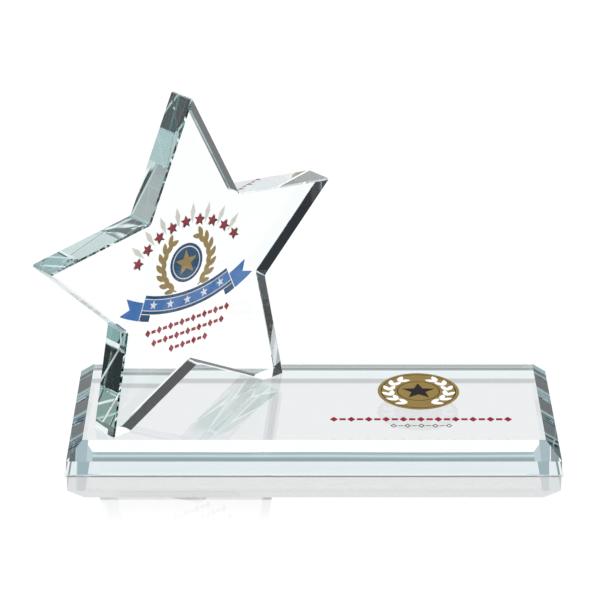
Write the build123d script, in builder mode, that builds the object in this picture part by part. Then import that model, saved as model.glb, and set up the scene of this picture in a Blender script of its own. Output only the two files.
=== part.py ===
"""A clear glass five-point star bonded by two flat-cut feet to a bevelled rectangular glass base.

Units are millimetres. The origin is the centre of the base's underside, +X runs to the right along the
base, +Z is up, and the front of the base faces -Y. Artwork is printed on the back face of the star, so
that it is seen through the glass, and on the top face of the base.
"""

from build123d import *
import os
from math import atan2, cos, degrees, hypot, radians, sin

# Glass plate that both pieces are cut from.
plate_thickness = 15.0
arris = 0.7  # polished edge chamfer on the star
base_arris = 0.5

# Base.
base_width = 228.6
base_depth = 95.25
bevel_run = 7.2
bevel_drop = 7.5

# Star.
star_x = -59.0
star_y = 1.0
star_yaw = 41.5  # degrees, turns the star's front face towards +X
# Corners across and up from the star's centre, tips and valleys in turn from the top point round to the
# left. The star is cut by hand from plate, so its points aren't quite equal.
star_corners = (
    (-1.2, 89.4),
    (-27.2, 34.7),
    (-83.5, 26.2),
    (-41.9, -15.0),
    (-52.8, -71.8),
    (-0.2, -43.9),
    (54.2, -73.1),
    (41.8, -10.7),
    (83.1, 28.1),
    (26.2, 35.5),
)
foot_drop = 65.5  # from the star's centre down to the flat cut of its feet
valley_fillet = 2.0
tip_flat = 1.2
point_count = 5
point_angle = 36.0  # between a point of an even five-point star and the next valley

# Adhesive between the feet and the base.
adhesive_thickness = 0.15
adhesive_inset = 0.4

# Printed artwork.
ink = 0.1
ink_gap = 0.3  # unprinted line between two shapes of the artwork
star_point_ratio = 0.42  # valley radius over outer radius of a printed star

# Emblem on the star, measured from the star's centre.
wreath_height = 5.5
wreath_radius = 14.5
leaf_length = 6.0
leaf_width = 2.6
leaf_lean = 27.0
stem_width = 0.7
stem_start = -64.0  # angles of the wreath's right-hand stem and of its first and last leaves
stem_end = 50.0
wreath_first_leaf = -58.0
wreath_last_leaf = 47.0
wreath_leaves = 7
roundel_radius = 9.6
roundel_ring_radius = 8.2
roundel_ring_width = 0.55
roundel_star_radius = 6.6

banner_centre = 57.0  # height of the centre of the banner's arcs
banner_inner = 65.8
banner_outer = 74.8
banner_half_angle = 21.5
tail_half_angle = 30.5
tail_start_angle = 17.2
tail_drop = 3.6
tail_notch = 4.0
piping_inset = 1.5
piping_width = 0.4
banner_star_radius = 2.4
banner_star_count = 5
banner_star_pitch = 8.3

crown_centre = -11.3
crown_radius = 37.4
crown_star_radius = 3.2
crown_half_angle = 50.0
crown_stars = 9
shadow_shift = 0.6
ray_inner = 35.5
ray_widest = 41.5
ray_outer = 46.0
ray_width = 3.0

# Ornament rows: (height of the row's middle, number of shapes). Lozenges and bars take turns.
star_rows = ((-23.8, 15), (-29.6, 13), (-35.4, 7))
row_pitch = 3.4
lozenge_width = 3.2
lozenge_height = 4.0
bar_width = 2.5
bar_height = 1.6

# Artwork on the base, measured from the centre of its top face.
medal_x = 50.2
medal_y = 10.2
medal_radius = 19.5
medal_ring_radius = 18.0
medal_ring_width = 0.45
medal_leaf_radius = 14.0
medal_first_leaf = -66.0
medal_last_leaf = 48.0
medal_leaves = 6
medal_inner_ring_radius = 10.3
medal_star_radius = 8.4
base_row_y = -19.5
base_row_scale = 1.2
base_row_shapes = 21
grey_row_y = -26.1
grey_row_shapes = 9
grey_row_scale = 0.95
grey_stroke = 0.4

os.makedirs("parts", exist_ok=True)

star_centre_z = plate_thickness + adhesive_thickness + foot_drop
foot_z = plate_thickness + adhesive_thickness
star_across = Vector(cos(radians(star_yaw)), sin(radians(star_yaw)), 0)
star_facing = Vector(sin(radians(star_yaw)), -cos(radians(star_yaw)), 0)
star_plane = Plane(origin=(star_x, star_y, star_centre_z), x_dir=star_across, z_dir=star_facing)
print_plane = star_plane.offset(-plate_thickness / 2)
base_top = Plane.XY.offset(plate_thickness)


def polar(radius, angle, centre_y=0.0):
    """The point at a radius and an angle in degrees about (0, centre_y)."""
    return (radius * cos(radians(angle)), centre_y + radius * sin(radians(angle)))


def star_points(outer, inner):
    """The ten corners of an even five-point star that stands on two points, from its top point round."""
    corners = []
    for k in range(point_count):
        top = 90 + 2 * k * point_angle
        corners.append(polar(outer, top))
        corners.append(polar(inner, top + point_angle))
    return corners


def distance_from_axis(vertex):
    """How far a vertex of a sketch about the origin lies from it."""
    return hypot(vertex.X, vertex.Y)


def printed_star(radius):
    """Adds a small star at the current locations."""
    Polygon(*star_points(radius, radius * star_point_ratio), align=None)


def arc_band(inner, outer, start, end, centre_y):
    """Adds a band between two arcs about (0, centre_y), from the start angle to the end angle."""
    middle = (start + end) / 2
    with BuildLine() as outline:
        near = ThreePointArc(*(polar(inner, a, centre_y) for a in (start, middle, end)))
        far = ThreePointArc(*(polar(outer, a, centre_y) for a in (start, middle, end)))
        Line(near @ 0, far @ 0)
        Line(near @ 1, far @ 1)
    make_face(outline.edges())


def branch_places(radius, centre, first, last, count):
    """Where the leaves of one laurel branch and its mirror image start, each leaning off the stem."""
    places = []
    for k in range(count):
        angle = first + (last - first) * k / (count - 1)
        for lean in (leaf_lean, -leaf_lean):
            x, y = polar(radius, angle)
            heading = angle + 90 - lean
            places.append(Location((centre[0] + x, centre[1] + y, 0), (0, 0, heading)))
            places.append(Location((centre[0] - x, centre[1] + y, 0), (0, 0, 180 - heading)))
    return places


def crown_places(count, half_angle, radius):
    """Evenly spaced places on the crown arc, each turned to point outwards."""
    places = []
    for k in range(count):
        angle = 90 + half_angle * (1 - 2 * k / (count - 1))
        x, y = polar(radius, angle, crown_centre)
        places.append(Location((x, y, 0), (0, 0, angle - 90)))
    return places


def row_places(count, pitch, middle_x, middle_y, parity):
    """Every second place of a centred row, starting from the place whose number is parity."""
    start = middle_x - pitch * (count - 1) / 2
    return [(start + pitch * k, middle_y) for k in range(parity, count, 2)]


def lozenge(scale=1.0, mode=Mode.ADD):
    """Adds an upright lozenge at the current locations."""
    half_width = scale * lozenge_width / 2
    half_height = scale * lozenge_height / 2
    corners = ((half_width, 0), (0, half_height), (-half_width, 0), (0, -half_height))
    Polygon(*corners, align=None, mode=mode)


def ornament_row(count, middle_x, middle_y, scale=1.0):
    """Adds a row in which lozenges and short bars take turns."""
    with Locations(*row_places(count, row_pitch * scale, middle_x, middle_y, 0)):
        lozenge(scale)
    with Locations(*row_places(count, row_pitch * scale, middle_x, middle_y, 1)):
        Rectangle(bar_width * scale, bar_height * scale)


# Shapes that several inks share. Each is drawn once, about the star's centre or the medal's centre.
with BuildSketch(mode=Mode.PRIVATE) as leaf:
    with BuildLine():
        ThreePointArc((0, 0), (leaf_length / 2, leaf_width / 2), (leaf_length, 0))
        ThreePointArc((leaf_length, 0), (leaf_length / 2, -leaf_width / 2), (0, 0))
    make_face()

with BuildSketch(mode=Mode.PRIVATE) as banner:
    arc_band(banner_inner, banner_outer, 270 - banner_half_angle, 270 + banner_half_angle, banner_centre)

with BuildSketch(mode=Mode.PRIVATE) as banner_field:
    arc_band(
        banner_inner + piping_inset,
        banner_outer - piping_inset,
        270 - banner_half_angle,
        270 + banner_half_angle,
        banner_centre,
    )

with BuildSketch(mode=Mode.PRIVATE) as banner_zone:
    arc_band(
        banner_inner - ink_gap,
        banner_outer + ink_gap,
        270 - banner_half_angle - ink_gap,
        270 + banner_half_angle + ink_gap,
        banner_centre,
    )

with BuildSketch(mode=Mode.PRIVATE) as banner_stars:
    for k in range(banner_star_count):
        angle = 270 + (k - (banner_star_count - 1) / 2) * banner_star_pitch
        x, y = polar((banner_inner + banner_outer) / 2, angle, banner_centre)
        with Locations(Location((x, y, 0), (0, 0, angle - 270))):
            printed_star(banner_star_radius)

with BuildSketch(mode=Mode.PRIVATE) as banner_piping:
    for radius in (banner_inner + piping_inset, banner_outer - piping_inset - piping_width):
        arc_band(
            radius,
            radius + piping_width,
            270 - banner_half_angle,
            270 + banner_half_angle,
            banner_centre,
        )

with BuildSketch(mode=Mode.PRIVATE) as crown:
    with Locations(*crown_places(crown_stars, crown_half_angle, crown_radius)):
        printed_star(crown_star_radius)

with BuildSketch(mode=Mode.PRIVATE) as roundel_star:
    with Locations((0, wreath_height)):
        printed_star(roundel_star_radius)

with BuildSketch(mode=Mode.PRIVATE) as roundel_ring:
    with Locations((0, wreath_height)):
        Circle(roundel_ring_radius)
        Circle(roundel_ring_radius - roundel_ring_width, mode=Mode.SUBTRACT)

with BuildSketch(mode=Mode.PRIVATE) as medal_white:
    medal_centre = (medal_x, medal_y)
    leaf_angles = (medal_first_leaf, medal_last_leaf, medal_leaves)
    with Locations(*branch_places(medal_leaf_radius, medal_centre, *leaf_angles)):
        add(leaf.sketch)

with BuildSketch(mode=Mode.PRIVATE) as medal_black:
    with Locations((medal_x, medal_y)):
        for radius in (medal_ring_radius, medal_inner_ring_radius):
            Circle(radius)
            Circle(radius - medal_ring_width, mode=Mode.SUBTRACT)
        printed_star(medal_star_radius)


# Base: a plate whose top edges carry a wide bevel, mitred at the corners.
with BuildPart() as base_plate:
    with BuildSketch():
        Rectangle(base_width, base_depth)
    extrude(amount=plate_thickness - bevel_drop)
    with BuildSketch(Plane.XY.offset(plate_thickness - bevel_drop)):
        Rectangle(base_width, base_depth)
    extrude(amount=bevel_drop, taper=degrees(atan2(bevel_run, bevel_drop)))
    chamfer(base_plate.faces().sort_by(Axis.Z)[0].edges(), length=base_arris)
base_plate.part.label = "base_plate"

# Star: a five-point plate with rounded valleys, blunted tips and two feet cut flat.
with BuildPart() as star_body:
    with BuildSketch(star_plane) as star_outline:
        with BuildLine():
            Polyline(*star_corners, close=True)
        make_face()
        valleys = star_outline.vertices().sort_by(distance_from_axis)[:point_count]
        fillet(valleys, radius=valley_fillet)
        tips = star_outline.vertices().sort_by(distance_from_axis)[-point_count:]
        chamfer(tips, length=tip_flat)
    extrude(amount=plate_thickness / 2, both=True)
    split(bisect_by=Plane.XY.offset(foot_z), keep=Keep.TOP)
    front_face = star_body.faces().sort_by(Axis((0, 0, 0), star_facing))[-1]
    back_face = star_body.faces().sort_by(Axis((0, 0, 0), star_facing))[0]
    rims = (front_face.edges() + back_face.edges()).filter_by(
        lambda edge: edge.center().Z > foot_z + arris
    )
    chamfer(rims, length=arris)
star_body.part.label = "star_body"

foot_faces = star_body.faces().filter_by(Axis.Z).group_by(Axis.Z)[0].sort_by(Axis.X)


def adhesive_pad(face):
    """Extrudes a foot's outline, drawn in a little, down to the base."""
    with BuildSketch(base_top) as pad:
        add(face.moved(Location((0, 0, -foot_z))))
        offset(amount=-adhesive_inset, mode=Mode.REPLACE)
    extrude(pad.sketch, amount=adhesive_thickness)


with BuildPart() as left_foot_adhesive:
    adhesive_pad(foot_faces[0])
left_foot_adhesive.part.label = "left_foot_adhesive"

with BuildPart() as right_foot_adhesive:
    adhesive_pad(foot_faces[-1])
right_foot_adhesive.part.label = "right_foot_adhesive"

# Star artwork, one ink at a time.
with BuildPart() as star_print_gold:
    with BuildSketch(print_plane):
        for start, end in ((stem_start, stem_end), (180 - stem_end, 180 - stem_start)):
            arc_band(
                wreath_radius - stem_width / 2,
                wreath_radius + stem_width / 2,
                start,
                end,
                wreath_height,
            )
        leaf_angles = (wreath_first_leaf, wreath_last_leaf, wreath_leaves)
        with Locations(*branch_places(wreath_radius, (0, wreath_height), *leaf_angles)):
            add(leaf.sketch)
        add(banner_zone.sketch, mode=Mode.SUBTRACT)
        add(roundel_star.sketch)
    extrude(amount=-ink)
star_print_gold.part.label = "star_print_gold"

with BuildPart() as star_print_navy:
    with BuildSketch(print_plane):
        with Locations((0, wreath_height)):
            Circle(roundel_radius)
        add(roundel_ring.sketch, mode=Mode.SUBTRACT)
        add(roundel_star.sketch, mode=Mode.SUBTRACT)
        add(banner.sketch)
        add(banner_field.sketch, mode=Mode.SUBTRACT)
        for sign in (-1, 1):
            fold_start = 270 + sign * tail_start_angle
            fold_end = 270 + sign * banner_half_angle
            arc_band(
                banner_outer + ink_gap,
                banner_outer + tail_drop,
                min(fold_start, fold_end),
                max(fold_start, fold_end),
                banner_centre,
            )
    extrude(amount=-ink)
star_print_navy.part.label = "star_print_navy"

with BuildPart() as star_print_blue:
    with BuildSketch(print_plane):
        for sign in (-1, 1):
            tail_root = 270 + sign * (banner_half_angle + ink_gap)
            tail_end = 270 + sign * tail_half_angle
            arc_band(
                banner_inner + tail_drop,
                banner_outer + tail_drop,
                min(tail_root, tail_end),
                max(tail_root, tail_end),
                banner_centre,
            )
            middle = (banner_inner + banner_outer) / 2 + tail_drop
            notch_angle = tail_end - sign * degrees(tail_notch / middle)
            Polygon(
                polar(banner_inner + tail_drop, tail_end + sign * ink_gap, banner_centre),
                polar(banner_outer + tail_drop, tail_end + sign * ink_gap, banner_centre),
                polar(middle, notch_angle, banner_centre),
                align=None,
                mode=Mode.SUBTRACT,
            )
        add(banner_field.sketch)
        add(banner_stars.sketch, mode=Mode.SUBTRACT)
        add(banner_piping.sketch, mode=Mode.SUBTRACT)
    extrude(amount=-ink)
star_print_blue.part.label = "star_print_blue"

with BuildPart() as star_print_white:
    with BuildSketch(print_plane):
        add(banner_stars.sketch)
        add(banner_piping.sketch)
        add(roundel_ring.sketch)
    extrude(amount=-ink)
star_print_white.part.label = "star_print_white"

with BuildPart() as star_print_red:
    with BuildSketch(print_plane):
        add(crown.sketch)
        for middle_y, count in star_rows:
            ornament_row(count, 0, middle_y)
    extrude(amount=-ink)
star_print_red.part.label = "star_print_red"

with BuildPart() as star_print_black:
    with BuildSketch(print_plane):
        with Locations((shadow_shift, -shadow_shift)):
            add(crown.sketch)
        add(crown.sketch, mode=Mode.SUBTRACT)
    extrude(amount=-ink)
star_print_black.part.label = "star_print_black"

with BuildPart() as star_print_cream:
    with BuildSketch(print_plane):
        gap_half_angle = crown_half_angle * (crown_stars - 2) / (crown_stars - 1)
        with Locations(*crown_places(crown_stars - 1, gap_half_angle, 0)):
            Polygon(
                (0, ray_inner),
                (ray_width / 2, ray_widest),
                (0, ray_outer),
                (-ray_width / 2, ray_widest),
                align=None,
            )
        add(crown.sketch, mode=Mode.SUBTRACT)
        with Locations((shadow_shift, -shadow_shift)):
            add(crown.sketch, mode=Mode.SUBTRACT)
    extrude(amount=-ink)
star_print_cream.part.label = "star_print_cream"

# Base artwork, one ink at a time.
with BuildPart() as base_print_gold:
    with BuildSketch(base_top):
        with Locations((medal_x, medal_y)):
            Circle(medal_radius)
        add(medal_white.sketch, mode=Mode.SUBTRACT)
        add(medal_black.sketch, mode=Mode.SUBTRACT)
    extrude(amount=ink)
base_print_gold.part.label = "base_print_gold"

with BuildPart() as base_print_white:
    with BuildSketch(base_top):
        add(medal_white.sketch)
    extrude(amount=ink)
base_print_white.part.label = "base_print_white"

with BuildPart() as base_print_black:
    with BuildSketch(base_top):
        add(medal_black.sketch)
        add(medal_white.sketch, mode=Mode.SUBTRACT)
    extrude(amount=ink)
base_print_black.part.label = "base_print_black"

with BuildPart() as base_print_red:
    with BuildSketch(base_top):
        ornament_row(base_row_shapes, medal_x, base_row_y, base_row_scale)
    extrude(amount=ink)
base_print_red.part.label = "base_print_red"

with BuildPart() as base_print_grey:
    with BuildSketch(base_top):
        grey_pitch = row_pitch * grey_row_scale
        lozenge_inradius = lozenge_width * lozenge_height / 2 / hypot(lozenge_width, lozenge_height)
        open_scale = grey_row_scale - grey_stroke / lozenge_inradius
        with Locations(*row_places(grey_row_shapes, grey_pitch, medal_x, grey_row_y, 0)):
            lozenge(grey_row_scale)
            lozenge(open_scale, mode=Mode.SUBTRACT)
        with Locations(*row_places(grey_row_shapes, grey_pitch, medal_x, grey_row_y, 1)):
            Rectangle(bar_width * grey_row_scale, grey_stroke)
    extrude(amount=ink)
base_print_grey.part.label = "base_print_grey"

export_step(base_plate.part, "parts/base_plate.step")
export_step(star_body.part, "parts/star_body.step")
export_step(left_foot_adhesive.part, "parts/left_foot_adhesive.step")
export_step(right_foot_adhesive.part, "parts/right_foot_adhesive.step")
export_step(star_print_gold.part, "parts/star_print_gold.step")
export_step(star_print_navy.part, "parts/star_print_navy.step")
export_step(star_print_blue.part, "parts/star_print_blue.step")
export_step(star_print_white.part, "parts/star_print_white.step")
export_step(star_print_red.part, "parts/star_print_red.step")
export_step(star_print_black.part, "parts/star_print_black.step")
export_step(star_print_cream.part, "parts/star_print_cream.step")
export_step(base_print_gold.part, "parts/base_print_gold.step")
export_step(base_print_white.part, "parts/base_print_white.step")
export_step(base_print_black.part, "parts/base_print_black.step")
export_step(base_print_red.part, "parts/base_print_red.step")
export_step(base_print_grey.part, "parts/base_print_grey.step")
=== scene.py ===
"""A clear glass star trophy with printed emblems, on a white studio table.

The frame's pieces keep their own meshes. This script gives them their materials, and sets up the table,
the studio around it and the camera. Lengths are metres, angles are degrees, and colours are amounts of
red, green and blue light.
"""

import math

import bpy
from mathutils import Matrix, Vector

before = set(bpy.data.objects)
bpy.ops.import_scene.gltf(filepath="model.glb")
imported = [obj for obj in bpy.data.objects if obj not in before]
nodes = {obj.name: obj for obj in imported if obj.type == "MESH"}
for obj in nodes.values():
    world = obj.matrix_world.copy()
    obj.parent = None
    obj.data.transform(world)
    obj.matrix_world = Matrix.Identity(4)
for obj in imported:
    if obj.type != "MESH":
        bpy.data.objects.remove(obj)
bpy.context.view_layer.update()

WHITE = (1.0, 1.0, 1.0)

# Sockets that a node has under one name for several kinds of data are told apart by number.
MIX_COLOUR_BELOW = 6
MIX_COLOUR_ABOVE = 7
MIX_COLOUR_RESULT = 2
MIX_VECTOR_FACTOR = 1
MIX_VECTOR_BELOW = 4
MIX_VECTOR_ABOVE = 5
MIX_VECTOR_RESULT = 1
RANGE_VECTOR = 6
RANGE_VECTOR_LOW = 7
RANGE_VECTOR_HIGH = 8
RANGE_VECTOR_RESULT = 1

# Camera.
CAMERA_ELEVATION = 24.4
CAMERA_DISTANCE = 1.263
CAMERA_TARGET = Vector((-0.0065, 0.0, 0.0676))
LENS = 162.1
SENSOR = 36.0
CLIP_START = 0.01
CLIP_END = 50.0

# Glass: its index, the colour light keeps on a path through it, and how strongly it is absorbed.
GLASS_IOR = 1.52
STAR_TINT = (0.55, 0.78, 0.76)
STAR_ABSORPTION = 4.0
BASE_TINT = (0.5, 0.78, 0.86)
BASE_ABSORPTION = 1.4

# How uneven the glass is: cells to the metre of its polish and of its cords, and the depth of the polish.
GLASS_WAVES = 30.0
GLASS_WAVE_DEPTH = 0.00003
GLASS_CORDS = 60.0
CORD_COLOUR = (0.985, 0.993, 0.991)

# Adhesive: specks to the metre, where a speck ends and where it is full, and how rough film and specks are.
ADHESIVE_IOR = 1.50
ADHESIVE_COLOUR = (0.96, 0.985, 0.98)
SPECKS = 900.0
SPECK_EDGE = (0.12, 0.06)
FILM_ROUGHNESS = 0.02
SPECK_ROUGHNESS = 0.4

# Ink: cells of grain, cloud and flake to the metre, and how much its colour and surface vary.
INK_GRAIN = 1500.0
INK_CLOUD = 120.0
INK_UNEVENNESS = 0.07
INK_ROUGHNESS = 0.28
INK_GRAIN_ROUGHNESS = 0.16
INK_RELIEF = 0.000004
INK_SHEEN = 0.02
MOTTLE_EDGE = (0.35, 0.65)
FLAKES = 3500.0
FLAKE_EDGE = (0.6, 1.0)
FLAKE_GAIN = 1.35
INKS = {
    "gold": (0.40, 0.27, 0.085),
    "navy": (0.010, 0.078, 0.190),
    "blue": (0.054, 0.205, 0.57),
    "white": (0.95, 0.95, 0.95),
    "red": (0.37, 0.017, 0.03),
    "black": (0.012, 0.012, 0.014),
    "cream": (0.93, 0.90, 0.84),
    "grey": (0.08, 0.08, 0.088),
}
# The base's inks are darker copies of the star's: painted shade, as the base is lit more brightly than the
# star.
BASE_SHADED_INKS = {
    "gold": (0.225, 0.152, 0.037),
    "red": (0.25, 0.011, 0.02),
    "black": (0.005, 0.005, 0.006),
    "grey": (0.03, 0.03, 0.033),
}
# How metallic an ink is, where it is at all.
METAL = {"gold": 0.1}

# Inks and the adhesive are drawn this much thinner all round, so that their faces never lie in the glass's.
FILM_SLACK = 0.00001
FILMS = ("left_foot_adhesive", "right_foot_adhesive")

# Half sizes of the base on the table, and the size and place of the table.
BASE_HALF_WIDTH = nodes["base_plate"].dimensions.x / 2
BASE_HALF_DEPTH = nodes["base_plate"].dimensions.y / 2
TABLE_REACH = 6.0
TABLE_DROP = 0.0001
BASE_EDGE = 0.0005  # how softly the table's look changes at the base's outline

# Straight through the base the table is painted a little shaded, with painted bands of shade and light
# along the foot of each long bevel. A band is its colour, and where it starts and is full, measured outwards
# from the base's long edges.
BASE_SHADE = (0.795, 0.805, 0.82)
BASE_LIGHT_AND_SHADE_BANDS = (
    ((0.60, 0.605, 0.62), -0.0182, -0.0165),
    ((0.90, 0.96, 0.97), -0.0132, -0.0118),
    ((0.28, 0.32, 0.33), -0.0045, -0.0025),
)

# A painted caustic stands for the light that the star throws through the base: a band of painted pale and
# darker facets on the table, which runs forward and left from its right foot. Its numbers are the band's
# middle and turn, facets to the metre, and where it ends and is full across and along.
FACET_MIDDLE = (-0.03703, 0.00452)
FACET_TURN = 28.5
FACETS_ACROSS = 150.0
FACETS_ALONG = 26.0
FACET_WIDTH = (0.0105, 0.0095)
FACET_LENGTH = (0.036, 0.022)
FACET_DARK = (0.54, 0.63, 0.62)
FACET_PALE = (0.76, 0.80, 0.80)
FACET_LINE = (0.86, 0.89, 0.89)
FACET_LINE_EDGE = (0.01, 0.04)

# The table is painted darker for light on a long path, standing for the share light loses at every mirroring
# past the second, up to five of them.
FIRST_LOSS = (0.88, 0.92, 0.94)
KEPT_SHARES = (0.875, 0.91, 0.91)
FREE_MIRRORINGS = 2.0
MOST_LOSSES = 5.0

# Painted light and shade on the table for light that goes round inside the base's bevels: its colour at the
# fewest mirrorings, at more, at still more with a painted pale line along the base's edge, and where it goes
# round towards the base's ends.
TRAPPED_FEWEST = 3
TRAPPED = (0.38, 0.48, 0.51)
TRAPPED_LONG = (0.27, 0.34, 0.34)
TRAPPED_STEP = (3.4, 4.2)
TRAPPED_LINE_FEWEST = 6
TRAPPED_LINE = (0.62, 0.74, 0.77)
TRAPPED_LINE_EDGE = (-0.0038, -0.0030)
TRAPPED_SIDEWAYS_FEWEST = 5
TRAPPED_SIDEWAYS = (0.525, 0.625, 0.655)
BESIDE_BASE = (0.006, 0.004)

# The open table is painted darker far to the right, for light that the glass has mirrored. A step is its
# colour, and where it starts and is full.
OPEN_TABLE = (1.1, 1.1, 1.1)
FAR_STEPS = (
    ((0.42, 0.46, 0.46), 0.12, 0.30),
    ((0.25, 0.29, 0.30), 0.60, 0.90),
    ((0.10, 0.115, 0.12), 1.12, 1.16),
)

# To some sides the open table is painted darker or lighter for light that the glass has turned. A side is
# the direction the light leaves the table in, and the angles round it where the side is full and where it
# ends.
STEEP_SIDE = ((0.46, -0.43, 0.77), 14, 18)
STEEP_COLOUR = (0.80, 0.81, 0.81)
STEEP_ONCE_COLOUR = (0.16, 0.17, 0.175)
RIGHT_SIDE = ((0.784, -0.208, 0.587), 13, 18)
RIGHT_COLOUR = (0.035, 0.038, 0.042)
BASE_END_SIDES = (((0.84, 0.0, 0.55), 8, 12), ((-0.84, 0.0, 0.55), 8, 12))
# For light mirrored off the glass without going through it, the table is painted dark, and painted pale
# towards the underside side.
UNDERSIDE_SIDE = ((0.139, -0.788, 0.600), 14, 18)
UNDERSIDE_COLOUR = (0.85, 0.85, 0.86)
OUTER_MIRROR_COLOUR = (0.12, 0.12, 0.12)

# The base's front corners turn light twice and send it to the table behind the base, where the table is
# painted darker for it.
CORNERS = (
    ((0.05, 0.065, 0.067), ((-0.83, -0.55, 0.04), 8, 12)),
    ((0.235, 0.275, 0.28), ((0.85, -0.53, 0.05), 13, 17)),
)
CORNER_REACH = (0.060, 0.066)

# Well behind the trophy the table has a painted patch of shade for light mirrored several times: where it
# starts and is full at the front, at the back and at the right, and the slanting line that its dark begins
# at.
PATCH_FEWEST = 4
PATCH_NEAR = (0.40, 0.44)
PATCH_FAR = (0.78, 0.74)
PATCH_RIGHT = (0.06, 0.03)
PATCH_SLANT = -0.1
PATCH_DARK = (-0.0698, -0.0688)
PATCH_SHADE_COLOUR = (0.01, 0.015, 0.017)

# The deepest paths get painted streaks of light and shade on the table, as from an inner corner that is a
# little rounded.
STREAK_FEWEST = 6
STREAK_LEFT = (0.30, 0.36)
STREAK_RIGHT = (0.98, 0.90)
STREAK_SLANT = 6.4
STREAKS_ACROSS = 28.0
STREAKS_ALONG = 25.0
STREAK_EDGE = (0.44, 0.64)
STREAK_DARK = (0.08, 0.11, 0.14)
STREAK_PALE = (1.0, 1.05, 1.06)

# Shade on the table along the base's back edge, as the base shows it and as the star's heel shows it.
REAR_SHADE = (0.0035, 0.002)
REAR_COLOUR = (0.36, 0.395, 0.405)
HEEL_SHADE = (0.009, 0.006)
HEEL_COLOUR = (0.50, 0.53, 0.54)

# What the camera sees of the table itself: its white, a painted contact shadow round the base, and a faint
# mirror that is stronger close by.
TABLE_WHITE = 1.04
CONTACT_EDGE = (0.0016, 0.0004)
CONTACT_SHADOW_COLOUR = (0.5, 0.52, 0.53)
NEAR_MIRROR = 0.20
NEAR_MIRROR_EDGE = (0.0232, 0.0222)
FAR_MIRROR = 0.09
FAR_MIRROR_EDGE = (0.052, 0.022)
MIRROR_ROUGHNESS = 0.01

# The white background, and the same seen in the table's faint mirror.
BACKGROUND = 1.12
MIRROR_BACKGROUND = 1.9

# How far the three colours part at the edge of a card.
SPREAD = (-0.8, 0.0, 0.8)

# The room as the glass shows it is dark, with cards hung round it. A card is its colour, its azimuth from
# straight back towards the right, its elevation, and the angles from its middle where it is full and where
# it ends. A last number, where there is one, is how much of the fringe of colours its edge has.
ROOM_COLOUR = (0.10, 0.112, 0.115)
CHARCOAL = (0.032, 0.037, 0.04)
SLATE = (0.030, 0.038, 0.042)
DARK_CARDS = (
    (CHARCOAL, -90, 18, 30, 38),
    (CHARCOAL, 165, 18, 30, 38),
    ((0.15, 0.19, 0.19), -90, 20, 20.5, 21.5),
    (SLATE, -90, 20, 18, 19),
    ((0.12, 0.16, 0.16), 165, 18, 20.5, 21.5),
    (SLATE, 165, 18, 18, 19),
    ((0.07, 0.072, 0.074), -41, 47, 6, 8),
    ((0.235, 0.245, 0.25), 52, 38, 12, 18),
    ((0.2, 0.21, 0.215), -53, 36, 7, 9),
    ((0.028, 0.03, 0.034), -78, 38, 10, 13),
)
# Stripes that the bevels at the base's ends show, hung on both sides.
STRIPE_CARDS = (
    ((0.62, 0.78, 0.70), 82, 43, 8.3, 9.1, 0.25),
    ((0.24, 0.36, 0.50), 97, 43, 7, 8, 0.25),
    ((0.74, 0.90, 0.92), 112, 43, 6, 7, 0.25),
    ((0.48, 0.62, 0.62), 127, 43, 7, 8),
)
PALE_CARDS = (
    ((1.1, 1.1, 1.1), 0, 16, 30, 36),
    ((0.36, 0.43, 0.4), -31, 38, 10, 12),
)
# White wall low down all round, with one dark card in front of it on the left.
WALL_TOP = 13
WALL_FULL = 7
WALL_CARD = (SLATE, -88, 11, 5, 6)

MOST_BOUNCES = 48
MOST_DIFFUSE_BOUNCES = 3

scene = bpy.context.scene


def new_material(name):
    """An empty node material, its tree and its output node."""
    material = bpy.data.materials.new(name)
    material.use_nodes = True
    tree = material.node_tree
    tree.nodes.clear()
    output = tree.nodes.new("ShaderNodeOutputMaterial")
    return material, tree, output


def feed(tree, value, socket):
    """Links a socket, or sets a plain value."""
    if isinstance(value, bpy.types.NodeSocket):
        tree.links.new(value, socket)
    elif isinstance(value, tuple) and socket.type == "RGBA":
        socket.default_value = (*value, 1)
    else:
        socket.default_value = value


def maths(tree, operation, a, b=0.0, c=0.0):
    """A maths node's result."""
    node = tree.nodes.new("ShaderNodeMath")
    node.operation = operation
    feed(tree, a, node.inputs[0])
    feed(tree, b, node.inputs[1])
    feed(tree, c, node.inputs[2])
    return node.outputs[0]


def product(tree, *values):
    """The values multiplied together."""
    result = values[0]
    for value in values[1:]:
        result = maths(tree, "MULTIPLY", result, value)
    return result


def smooth(tree, value, low, high):
    """0 below low and 1 above high, or the other way round, with a smooth step between."""
    node = tree.nodes.new("ShaderNodeMapRange")
    node.interpolation_type = "SMOOTHSTEP"
    feed(tree, value, node.inputs["Value"])
    node.inputs["From Min"].default_value = low
    node.inputs["From Max"].default_value = high
    return node.outputs["Result"]


def blend(tree, below, above, factor):
    """One colour laid over another."""
    node = tree.nodes.new("ShaderNodeMix")
    node.data_type = "RGBA"
    feed(tree, below, node.inputs[MIX_COLOUR_BELOW])
    feed(tree, above, node.inputs[MIX_COLOUR_ABOVE])
    feed(tree, factor, node.inputs["Factor"])
    return node.outputs[MIX_COLOUR_RESULT]


def combine(tree, x, y):
    """A place in a flat pattern."""
    node = tree.nodes.new("ShaderNodeCombineXYZ")
    feed(tree, x, node.inputs["X"])
    feed(tree, y, node.inputs["Y"])
    return node.outputs["Vector"]


def object_place(tree):
    """A place on the object, which its patterns belong to."""
    return tree.nodes.new("ShaderNodeTexCoord").outputs["Object"]


def noise_field(tree, place, scale, detail=2.0):
    """A noise, scale being its cells to one unit of the place."""
    noise = tree.nodes.new("ShaderNodeTexNoise")
    noise.inputs["Scale"].default_value = scale
    noise.inputs["Detail"].default_value = detail
    tree.links.new(place, noise.inputs["Vector"])
    return noise.outputs["Fac"]


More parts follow.
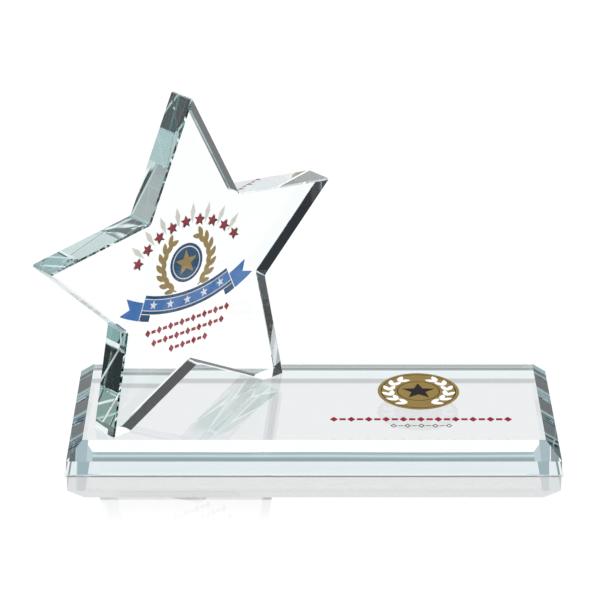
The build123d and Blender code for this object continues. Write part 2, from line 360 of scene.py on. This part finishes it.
def cell_field(tree, place, scale, feature="F1"):
    """A node of scattered cells, scale being their number to one unit of the place."""
    cells = tree.nodes.new("ShaderNodeTexVoronoi")
    cells.feature = feature
    cells.inputs["Scale"].default_value = scale
    tree.links.new(place, cells.inputs["Vector"])
    return cells


def cell_tone(tree, cells):
    """A number of its own for each cell, from 0 to 1."""
    parts = tree.nodes.new("ShaderNodeSeparateColor")
    tree.links.new(cells.outputs["Color"], parts.inputs[0])
    return parts.outputs[0]


def relief(tree, height, depth, surface):
    """Bumps a surface by a height field, depth being how deep it goes."""
    bump = tree.nodes.new("ShaderNodeBump")
    bump.inputs["Strength"].default_value = 1.0
    bump.inputs["Distance"].default_value = depth
    tree.links.new(height, bump.inputs["Height"])
    tree.links.new(bump.outputs["Normal"], surface.inputs["Normal"])


def near_way(tree, vector, way, inner, outer):
    """1 within the inner angle of a direction, falling to 0 at the outer one."""
    toward = tree.nodes.new("ShaderNodeVectorMath")
    toward.operation = "DOT_PRODUCT"
    toward.inputs[1].default_value = Vector(way).normalized()
    tree.links.new(vector, toward.inputs[0])
    low = math.cos(math.radians(outer))
    high = math.cos(math.radians(inner))
    return smooth(tree, toward.outputs["Value"], low, high)


def clear_glass(name, tint, absorption):
    """Polished glass that tints what is seen along a long path through it.

    Its faces are a hair off flat, as hand polishing leaves them.
    """
    material, tree, output = new_material(name)
    place = object_place(tree)
    surface = tree.nodes.new("ShaderNodeBsdfPrincipled")
    cords = blend(tree, CORD_COLOUR, WHITE, noise_field(tree, place, GLASS_CORDS))
    tree.links.new(cords, surface.inputs["Base Color"])
    surface.inputs["Roughness"].default_value = 0.0
    surface.inputs["IOR"].default_value = GLASS_IOR
    surface.inputs["Transmission Weight"].default_value = 1.0
    relief(tree, noise_field(tree, place, GLASS_WAVES, detail=0.0), GLASS_WAVE_DEPTH, surface)
    inside = tree.nodes.new("ShaderNodeVolumeAbsorption")
    inside.inputs["Color"].default_value = (*tint, 1)
    inside.inputs["Density"].default_value = absorption
    tree.links.new(surface.outputs[0], output.inputs["Surface"])
    tree.links.new(inside.outputs[0], output.inputs["Volume"])
    return material


def clear_adhesive(name):
    """A clear cured film, a little hazy, with a few specks where it doesn't wet the glass."""
    material, tree, output = new_material(name)
    surface = tree.nodes.new("ShaderNodeBsdfPrincipled")
    surface.inputs["Base Color"].default_value = (*ADHESIVE_COLOUR, 1)
    surface.inputs["IOR"].default_value = ADHESIVE_IOR
    surface.inputs["Transmission Weight"].default_value = 1.0
    specks = cell_field(tree, object_place(tree), SPECKS)
    haze = smooth(tree, specks.outputs["Distance"], *SPECK_EDGE)
    rough = maths(tree, "MULTIPLY_ADD", haze, SPECK_ROUGHNESS, FILM_ROUGHNESS)
    tree.links.new(rough, surface.inputs["Roughness"])
    tree.links.new(surface.outputs[0], output.inputs["Surface"])
    return material


def brightened(colour, gain):
    """A colour made brighter or darker, up to white."""
    return tuple(min(channel * gain, 1.0) for channel in colour)


def ink(name, colour, flake):
    """Printed ink: a fine grain, a slow cloudiness, and bright flakes in a metallic one."""
    material, tree, output = new_material(name)
    place = object_place(tree)
    surface = tree.nodes.new("ShaderNodeBsdfPrincipled")
    grain = noise_field(tree, place, INK_GRAIN)
    cloud = noise_field(tree, place, INK_CLOUD)
    mottle = maths(tree, "MULTIPLY_ADD", cloud, 0.5, product(tree, grain, 0.5))
    dark = brightened(colour, 1 - INK_UNEVENNESS)
    light = brightened(colour, 1 + INK_UNEVENNESS)
    shades = blend(tree, dark, light, smooth(tree, mottle, *MOTTLE_EDGE))
    surface.inputs["Specular IOR Level"].default_value = INK_SHEEN
    rough = maths(tree, "MULTIPLY_ADD", grain, INK_GRAIN_ROUGHNESS, INK_ROUGHNESS)
    if flake:
        bright = smooth(tree, cell_tone(tree, cell_field(tree, place, FLAKES)), *FLAKE_EDGE)
        shades = blend(tree, shades, brightened(colour, FLAKE_GAIN), bright)
        surface.inputs["Metallic"].default_value = flake
    tree.links.new(shades, surface.inputs["Base Color"])
    tree.links.new(rough, surface.inputs["Roughness"])
    relief(tree, grain, INK_RELIEF, surface)
    tree.links.new(surface.outputs[0], output.inputs["Surface"])
    return material


def dress(name, material):
    """Gives a frame node one material, and keeps it out of the light that the inks scatter."""
    slots = nodes[name].material_slots
    slots[0].link = "OBJECT"
    slots[0].material = material
    nodes[name].visible_diffuse = False


def slacken(name):
    """Draws a film a hair thinner than its solid."""
    slack = nodes[name].modifiers.new("slack", "DISPLACE")
    slack.mid_level = 0.0
    slack.strength = -FILM_SLACK


dress("star_body", clear_glass("star_glass", STAR_TINT, STAR_ABSORPTION))
dress("base_plate", clear_glass("base_glass", BASE_TINT, BASE_ABSORPTION))
adhesive = clear_adhesive("adhesive")
for film in FILMS:
    dress(film, adhesive)
    slacken(film)
# The base's prints take the darker copies of the inks, which are their painted shade.
for piece, own_inks in (("star", {}), ("base", BASE_SHADED_INKS)):
    for colour_name, colour in {**INKS, **own_inks}.items():
        print_name = f"{piece}_print_{colour_name}"
        if print_name in nodes:
            dress(print_name, ink(print_name + "_ink", colour, METAL.get(colour_name, 0.0)))
            slacken(print_name)


class Spot:
    """Where a light path, followed back from the camera, meets the table, and how it got there.

    along is how far the spot is outside the base's long edges, and outside how far it is outside the
    base's outline. mirrorings counts how often the path was mirrored, crossings how often it went through
    a face of glass, and scatterings how often a dull surface sent it on.
    """

    def __init__(self, tree):
        self.tree = tree
        geometry = tree.nodes.new("ShaderNodeNewGeometry")
        place = tree.nodes.new("ShaderNodeSeparateXYZ")
        tree.links.new(geometry.outputs["Position"], place.inputs[0])
        self.x = place.outputs["X"]
        self.y = place.outputs["Y"]
        across = maths(tree, "SUBTRACT", maths(tree, "ABSOLUTE", self.x), BASE_HALF_WIDTH)
        self.along = maths(tree, "SUBTRACT", maths(tree, "ABSOLUTE", self.y), BASE_HALF_DEPTH)
        self.outside = maths(tree, "MAXIMUM", across, self.along)
        self.leaving = geometry.outputs["Incoming"]
        path = tree.nodes.new("ShaderNodeLightPath")
        self.mirrorings = path.outputs["Glossy Depth"]
        self.crossings = path.outputs["Transmission Depth"]
        self.scatterings = path.outputs["Diffuse Depth"]
        self.from_camera = path.outputs["Is Camera Ray"]

    def at_least(self, count, number):
        """1 where a count is a whole number or more, and 0 elsewhere."""
        return maths(self.tree, "GREATER_THAN", count, number - 0.5)

    def at_most(self, count, number):
        """1 where a count is a whole number or less, and 0 elsewhere."""
        return maths(self.tree, "LESS_THAN", count, number + 0.5)

    def mirrored(self, least, most):
        """1 for light that was mirrored from the least to the most times."""
        return product(self.tree, self.at_least(self.mirrorings, least), self.at_most(self.mirrorings, most))

    def toward(self, side):
        """1 for light that leaves the table towards a side."""
        return near_way(self.tree, self.leaving, *side)

    def measure(self, per_x, per_y, start=0.0):
        """A distance measured aslant over the table."""
        part = maths(self.tree, "MULTIPLY_ADD", self.y, per_y, start)
        return maths(self.tree, "MULTIPLY_ADD", self.x, per_x, part)

    def near_back_edge(self, edge):
        """1 within a distance of the base's back edge."""
        near = smooth(self.tree, maths(self.tree, "ABSOLUTE", self.along), *edge)
        return product(self.tree, near, maths(self.tree, "GREATER_THAN", self.y, 0.0))


def painted_caustic_facets(spot):
    """The painted caustic of the star, a band of facets of painted light and shade: its colour, and where it
    is.
    """
    tree = spot.tree
    turn_cos = math.cos(math.radians(FACET_TURN))
    turn_sin = math.sin(math.radians(FACET_TURN))
    middle_x, middle_y = FACET_MIDDLE
    across = spot.measure(turn_cos, -turn_sin, turn_sin * middle_y - turn_cos * middle_x)
    along = spot.measure(-turn_sin, -turn_cos, turn_sin * middle_x + turn_cos * middle_y)
    place = combine(tree, product(tree, across, FACETS_ACROSS), product(tree, along, FACETS_ALONG))
    lines = cell_field(tree, place, 1.0, "DISTANCE_TO_EDGE").outputs["Distance"]
    tone = cell_tone(tree, cell_field(tree, place, 1.0))
    colour = blend(tree, FACET_DARK, FACET_PALE, tone)
    colour = blend(tree, FACET_LINE, colour, smooth(tree, lines, *FACET_LINE_EDGE))
    width = smooth(tree, maths(tree, "ABSOLUTE", across), *FACET_WIDTH)
    length = smooth(tree, maths(tree, "ABSOLUTE", along), *FACET_LENGTH)
    return colour, product(tree, width, length)


def straight_through(spot):
    """The table under the base, as it is seen straight through it, with its painted shade, bands and
    caustic.
    """
    colour = BASE_SHADE
    for band_colour, start, full in BASE_LIGHT_AND_SHADE_BANDS:
        colour = blend(spot.tree, colour, band_colour, smooth(spot.tree, spot.along, start, full))
    return blend(spot.tree, colour, *painted_caustic_facets(spot))


def dimmed(spot):
    """Painted shade: white light darkened as it would be after its mirrorings."""
    tree = spot.tree
    losses = maths(tree, "MAXIMUM", maths(tree, "SUBTRACT", spot.mirrorings, FREE_MIRRORINGS), 0.0)
    losses = maths(tree, "MINIMUM", losses, MOST_LOSSES)
    kept = tree.nodes.new("ShaderNodeCombineColor")
    for channel, share in enumerate(KEPT_SHARES):
        tree.links.new(maths(tree, "POWER", share, losses), kept.inputs[channel])
    mix = tree.nodes.new("ShaderNodeMix")
    mix.data_type = "RGBA"
    mix.blend_type = "MULTIPLY"
    mix.inputs["Factor"].default_value = 1.0
    feed(tree, FIRST_LOSS, mix.inputs[MIX_COLOUR_BELOW])
    tree.links.new(kept.outputs[0], mix.inputs[MIX_COLOUR_ABOVE])
    return mix.outputs[MIX_COLOUR_RESULT]


def trapped_light(spot):
    """Painted light and shade on the table for light that goes round inside the base's bevels: its colour,
    and which light it is.
    """
    tree = spot.tree
    colour = blend(tree, TRAPPED, TRAPPED_LONG, smooth(tree, spot.mirrorings, *TRAPPED_STEP))
    line = blend(tree, TRAPPED_LINE, TRAPPED, smooth(tree, spot.along, *TRAPPED_LINE_EDGE))
    colour = blend(tree, colour, line, spot.at_least(spot.mirrorings, TRAPPED_LINE_FEWEST))
    ends = maths(tree, "MAXIMUM", *(spot.toward(side) for side in BASE_END_SIDES))
    ends = product(tree, ends, spot.at_least(spot.mirrorings, TRAPPED_SIDEWAYS_FEWEST))
    colour = blend(tree, colour, TRAPPED_SIDEWAYS, ends)
    only_base = spot.at_most(spot.crossings, 2)
    return colour, product(tree, only_base, spot.at_least(spot.mirrorings, TRAPPED_FEWEST))


def painted_shade_patch(spot):
    """The painted patch of shade well behind the trophy: its colour, and where and to which light it shows.
    """
    tree = spot.tree
    dark = smooth(tree, spot.measure(1.0, PATCH_SLANT), *PATCH_DARK)
    colour = blend(tree, OPEN_TABLE, PATCH_SHADE_COLOUR, dark)
    depth = product(tree, smooth(tree, spot.y, *PATCH_NEAR), smooth(tree, spot.y, *PATCH_FAR))
    often = spot.at_least(spot.mirrorings, PATCH_FEWEST)
    return colour, product(tree, depth, often, smooth(tree, spot.x, *PATCH_RIGHT))


def streaks(spot):
    """Painted streaks of light and shade that only the deepest paths show: their colour, and where they are.
    """
    tree = spot.tree
    across = product(tree, spot.measure(1.0, STREAK_SLANT), STREAKS_ACROSS)
    place = combine(tree, across, product(tree, spot.y, STREAKS_ALONG))
    marbling = noise_field(tree, place, 1.0, detail=1.0)
    colour = blend(tree, STREAK_DARK, STREAK_PALE, smooth(tree, marbling, *STREAK_EDGE))
    deep = spot.at_least(spot.mirrorings, STREAK_FEWEST)
    left = smooth(tree, spot.x, *STREAK_LEFT)
    return colour, product(tree, deep, left, smooth(tree, spot.x, *STREAK_RIGHT))


def open_table(spot, dim, trapped_colour, trapped):
    """The table round the base, as it is seen through the glass, with its painted light and shade."""
    tree = spot.tree
    turned = dim
    for far_colour, start, full in FAR_STEPS:
        turned = blend(tree, turned, far_colour, smooth(tree, spot.x, start, full))
    beside = product(tree, trapped, smooth(tree, spot.outside, *BESIDE_BASE))
    turned = blend(tree, turned, trapped_colour, beside)
    colour = blend(tree, OPEN_TABLE, turned, spot.at_least(spot.mirrorings, 1))
    steep = spot.toward(STEEP_SIDE)
    colour = blend(tree, colour, STEEP_COLOUR, product(tree, steep, spot.at_most(spot.mirrorings, 2)))
    colour = blend(tree, colour, STEEP_ONCE_COLOUR, product(tree, steep, spot.at_most(spot.mirrorings, 1)))
    right = product(tree, spot.mirrored(1, 2), spot.toward(RIGHT_SIDE))
    colour = blend(tree, colour, RIGHT_COLOUR, right)
    corner = product(tree, spot.mirrored(2, 2), spot.at_most(spot.crossings, 2))
    corner = product(tree, corner, smooth(tree, spot.y, *CORNER_REACH))
    for corner_colour, side in CORNERS:
        colour = blend(tree, colour, corner_colour, product(tree, corner, spot.toward(side)))
    colour = blend(tree, colour, *painted_shade_patch(spot))
    colour = blend(tree, colour, *streaks(spot))
    outer = product(tree, spot.at_least(spot.mirrorings, 1), spot.at_most(spot.crossings, 0))
    colour = blend(tree, colour, OUTER_MIRROR_COLOUR, outer)
    underside = product(tree, outer, spot.toward(UNDERSIDE_SIDE))
    return blend(tree, colour, UNDERSIDE_COLOUR, underside)


def table_in_glass(spot):
    """The table for all light but the camera's own: it glows with a colour of painted light and shade for
    the way the light came.
    """
    tree = spot.tree
    dim = dimmed(spot)
    trapped_colour, trapped = trapped_light(spot)
    turned = blend(tree, dim, trapped_colour, trapped)
    under_colour = blend(tree, straight_through(spot), turned, spot.at_least(spot.mirrorings, 1))
    under = smooth(tree, spot.outside, BASE_EDGE, -BASE_EDGE)
    colour = blend(tree, open_table(spot, dim, trapped_colour, trapped), under_colour, under)
    rear = product(tree, spot.mirrored(1, 1), spot.near_back_edge(REAR_SHADE))
    colour = blend(tree, colour, REAR_COLOUR, rear)
    through_star = spot.at_least(spot.crossings, 3)
    heel = product(tree, through_star, spot.mirrored(1, 2), spot.near_back_edge(HEEL_SHADE))
    colour = blend(tree, colour, HEEL_COLOUR, heel)
    colour = blend(tree, colour, WHITE, spot.at_least(spot.scatterings, 1))
    light = tree.nodes.new("ShaderNodeEmission")
    tree.links.new(colour, light.inputs["Color"])
    return light.outputs[0]


def table_itself(spot):
    """The table for the camera: white, with a thin painted contact shadow and a faint mirror near the base.

    What the mirror takes from the white it gives back from the bright studio, so only the object shows.
    """
    tree = spot.tree
    strength = product(tree, smooth(tree, spot.outside, *NEAR_MIRROR_EDGE), NEAR_MIRROR)
    far = smooth(tree, spot.outside, *FAR_MIRROR_EDGE)
    strength = maths(tree, "MULTIPLY_ADD", far, FAR_MIRROR, strength)
    plain = tree.nodes.new("ShaderNodeEmission")
    contact = smooth(tree, spot.outside, *CONTACT_EDGE)
    tree.links.new(blend(tree, WHITE, CONTACT_SHADOW_COLOUR, contact), plain.inputs["Color"])
    white = maths(tree, "MULTIPLY_ADD", strength, -MIRROR_BACKGROUND, TABLE_WHITE)
    tree.links.new(white, plain.inputs["Strength"])
    mirror = tree.nodes.new("ShaderNodeBsdfGlossy")
    mirror.inputs["Roughness"].default_value = MIRROR_ROUGHNESS
    tint = tree.nodes.new("ShaderNodeCombineColor")
    for channel in range(3):
        tree.links.new(strength, tint.inputs[channel])
    tree.links.new(tint.outputs[0], mirror.inputs["Color"])
    both = tree.nodes.new("ShaderNodeAddShader")
    tree.links.new(plain.outputs[0], both.inputs[0])
    tree.links.new(mirror.outputs[0], both.inputs[1])
    return both.outputs[0]


def make_table():
    """A white table that the base stands on, which glows with painted light and shade where the glass shows
    it.
    """
    signs = ((-1, -1), (1, -1), (1, 1), (-1, 1))
    corners = [(x * TABLE_REACH, y * TABLE_REACH, -TABLE_DROP) for x, y in signs]
    mesh = bpy.data.meshes.new("table")
    mesh.from_pydata(corners, [], [(0, 1, 2, 3)])
    table = bpy.data.objects.new("table", mesh)
    scene.collection.objects.link(table)
    material, tree, output = new_material("table")
    mesh.materials.append(material)
    spot = Spot(tree)
    pick = tree.nodes.new("ShaderNodeMixShader")
    tree.links.new(spot.from_camera, pick.inputs[0])
    tree.links.new(table_in_glass(spot), pick.inputs[1])
    tree.links.new(table_itself(spot), pick.inputs[2])
    tree.links.new(pick.outputs[0], output.inputs["Surface"])


def direction(azimuth, elevation):
    """A direction, its azimuth measured from straight back towards the right."""
    a = math.radians(azimuth)
    e = math.radians(elevation)
    return Vector((math.sin(a) * math.cos(e), math.cos(a) * math.cos(e), math.sin(e)))


def card(tree, view, below, colour, azimuth, elevation, inner, outer, fringe=1.0):
    """Lays a round soft-edged card over what is below, with a fringe of colours along its edge."""
    dot = tree.nodes.new("ShaderNodeVectorMath")
    dot.operation = "DOT_PRODUCT"
    dot.inputs[1].default_value = direction(azimuth, elevation)
    tree.links.new(view, dot.inputs[0])
    edge = tree.nodes.new("ShaderNodeMapRange")
    edge.data_type = "FLOAT_VECTOR"
    edge.interpolation_type = "SMOOTHSTEP"
    low = [math.cos(math.radians(outer + shift * fringe)) for shift in SPREAD]
    high = [math.cos(math.radians(inner + shift * fringe)) for shift in SPREAD]
    edge.inputs[RANGE_VECTOR_LOW].default_value = low
    edge.inputs[RANGE_VECTOR_HIGH].default_value = high
    tree.links.new(dot.outputs["Value"], edge.inputs[RANGE_VECTOR])
    mix = tree.nodes.new("ShaderNodeMix")
    mix.data_type = "VECTOR"
    mix.factor_mode = "NON_UNIFORM"
    tree.links.new(edge.outputs[RANGE_VECTOR_RESULT], mix.inputs[MIX_VECTOR_FACTOR])
    feed(tree, below, mix.inputs[MIX_VECTOR_BELOW])
    feed(tree, colour, mix.inputs[MIX_VECTOR_ABOVE])
    return mix.outputs[MIX_VECTOR_RESULT]


def room_colours(tree):
    """The dark room with its cards and its low white wall, as the glass shows it."""
    view = tree.nodes.new("ShaderNodeTexCoord").outputs["Generated"]
    stripes = []
    for side in (1, -1):
        for colour, azimuth, *rest in STRIPE_CARDS:
            stripes.append((colour, side * azimuth, *rest))
    shade = ROOM_COLOUR
    for each in (*DARK_CARDS, *stripes, *PALE_CARDS):
        shade = card(tree, view, shade, *each)
    split = tree.nodes.new("ShaderNodeSeparateXYZ")
    tree.links.new(view, split.inputs[0])
    top = math.sin(math.radians(WALL_TOP))
    full = math.sin(math.radians(WALL_FULL))
    shade = blend(tree, shade, WHITE, smooth(tree, split.outputs["Z"], top, full))
    return card(tree, view, shade, *WALL_CARD)


def make_studio():
    """A white studio round the object, and a darker room with cards that only its glass shows."""
    world = bpy.data.worlds.new("studio")
    scene.world = world
    world.use_nodes = True
    world.cycles.sampling_method = "NONE"
    tree = world.node_tree
    tree.nodes.clear()
    output = tree.nodes.new("ShaderNodeOutputWorld")
    path = tree.nodes.new("ShaderNodeLightPath")
    white = tree.nodes.new("ShaderNodeBackground")
    white.inputs["Color"].default_value = (*WHITE, 1)
    not_through_glass = maths(tree, "LESS_THAN", path.outputs["Transmission Depth"], 0.5)
    # The table's mirror is never quite sharp, so light from it is told by that.
    blurred = maths(tree, "SUBTRACT", 1.0, path.outputs["Is Singular Ray"])
    off_table = product(tree, path.outputs["Is Glossy Ray"], not_through_glass, blurred)
    brightness = maths(tree, "MULTIPLY_ADD", off_table, MIRROR_BACKGROUND - BACKGROUND, BACKGROUND)
    tree.links.new(brightness, white.inputs["Strength"])
    room = tree.nodes.new("ShaderNodeBackground")
    tree.links.new(room_colours(tree), room.inputs["Color"])
    pick = tree.nodes.new("ShaderNodeMixShader")
    tree.links.new(maths(tree, "MAXIMUM", not_through_glass, path.outputs["Diffuse Depth"]), pick.inputs[0])
    tree.links.new(room.outputs[0], pick.inputs[1])
    tree.links.new(white.outputs[0], pick.inputs[2])
    tree.links.new(pick.outputs[0], output.inputs["Surface"])


def make_camera():
    """The camera, level from side to side, looking down at the trophy from the front."""
    data = bpy.data.cameras.new("camera")
    data.lens = LENS
    data.sensor_width = SENSOR
    data.clip_start = CLIP_START
    data.clip_end = CLIP_END
    camera = bpy.data.objects.new("camera", data)
    scene.collection.objects.link(camera)
    camera.location = CAMERA_TARGET + direction(180, CAMERA_ELEVATION) * CAMERA_DISTANCE
    camera.rotation_euler = (math.radians(90 - CAMERA_ELEVATION), 0, 0)
    scene.camera = camera


make_table()
make_studio()
make_camera()

# Rendering choices.
scene.view_settings.view_transform = "Standard"
scene.cycles.use_denoising = True
scene.cycles.max_bounces = MOST_BOUNCES
scene.cycles.transmission_bounces = MOST_BOUNCES
scene.cycles.glossy_bounces = MOST_BOUNCES
scene.cycles.diffuse_bounces = MOST_DIFFUSE_BOUNCES
